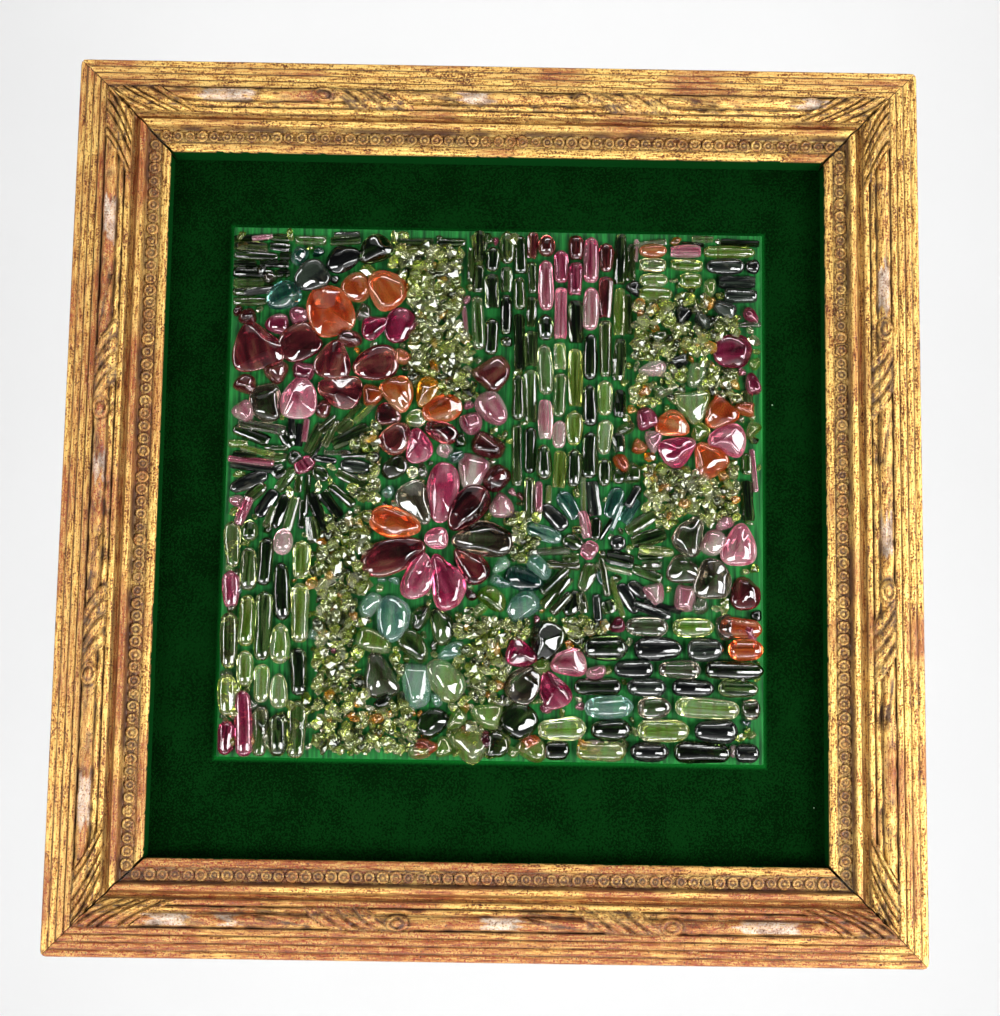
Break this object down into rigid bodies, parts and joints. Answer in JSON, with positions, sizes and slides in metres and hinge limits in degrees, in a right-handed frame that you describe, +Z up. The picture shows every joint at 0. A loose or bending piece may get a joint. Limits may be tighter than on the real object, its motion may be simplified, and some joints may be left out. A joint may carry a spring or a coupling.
{
  "type": "framed stone mosaic panel",
  "caption": "Wall panel with flowers and rows of tumbled stones on a green plate, set on velvet in a carved, gilded wooden frame.",
  "frame": {"origin": "middle of the flat back of the frame's top rail, where it lies against the wall", "axes": "+Z up as it hangs, +Y into the wall, so the mosaic faces -Y; X runs along the rail"},
  "size_m": [0.3954, 0.031, 0.4156],
  "materials": {
    "gilding": "carved wood, water gilded over red bole, worn and streaked",
    "velvet": "dark green cotton velvet",
    "green_plate": "satin green sheet with faint upright strokes",
    "clear": "tumbled and polished, nearly clear",
    "orange": "tumbled and polished, translucent",
    "amber": "tumbled and polished, translucent",
    "maroon": "tumbled and polished, translucent",
    "raspberry": "tumbled and polished, translucent",
    "pink": "tumbled and polished, translucent",
    "smoky": "tumbled and polished, translucent",
    "dark_green": "tumbled and polished, translucent",
    "teal": "tumbled and polished, translucent",
    "black": "tumbled and polished, opaque"
  },
  "bodies": {
    "root": {"frame_rail_top": "gilding", "frame_rail_right": "gilding", "frame_rail_bottom": "gilding", "frame_rail_left": "gilding", "velvet_board": "velvet", "mosaic_plate": "green_plate", "left_flower_heart": "clear", "left_flower_petal_1": "orange", "left_flower_petal_2": "amber", "left_flower_petal_3": "orange", "left_flower_petal_4": "maroon", "left_flower_petal_5": "maroon", "left_flower_petal_6": "raspberry", "left_flower_petal_7": "maroon", "centre_flower_heart": "pink", "centre_flower_petal_1": "smoky", "centre_flower_petal_2": "maroon", "centre_flower_petal_3": "raspberry", "centre_flower_petal_4": "smoky", "centre_flower_petal_5": "orange", "centre_flower_petal_6": "maroon", "centre_flower_petal_7": "raspberry", "centre_flower_petal_8": "raspberry", "centre_flower_petal_9": "maroon", "right_flower_heart": "clear", "right_flower_petal_1": "orange", "right_flower_petal_2": "clear", "right_flower_petal_3": "orange", "right_flower_petal_4": "raspberry", "right_flower_petal_5": "orange", "right_flower_petal_6": "pink", "lower_flower_heart": "clear", "lower_flower_petal_1": "pink", "lower_flower_petal_2": "dark_green", "lower_flower_petal_3": "raspberry", "lower_flower_petal_4": "smoky", "lower_flower_petal_5": "raspberry", "dark_pebble_1": "teal", "dark_pebble_2": "black", "dark_pebble_3": "black", "dark_pebble_4": "dark_green", "garnet_pebble_1": "maroon", "garnet_pebble_2": "orange", "garnet_pebble_3": "pink", "garnet_pebble_4": "maroon", "garnet_pebble_5": "maroon", "garnet_pebble_6": "maroon", "garnet_pebble_7": "maroon", "garnet_pebble_8": "orange", "garnet_pebble_9": "smoky", "garnet_pebble_10": "raspberry", "garnet_pebble_11": "raspberry", "rose_pebble_1": "smoky", "rose_pebble_2": "smoky", "rose_pebble_3": "pink"}
  },
  "joints": []
}
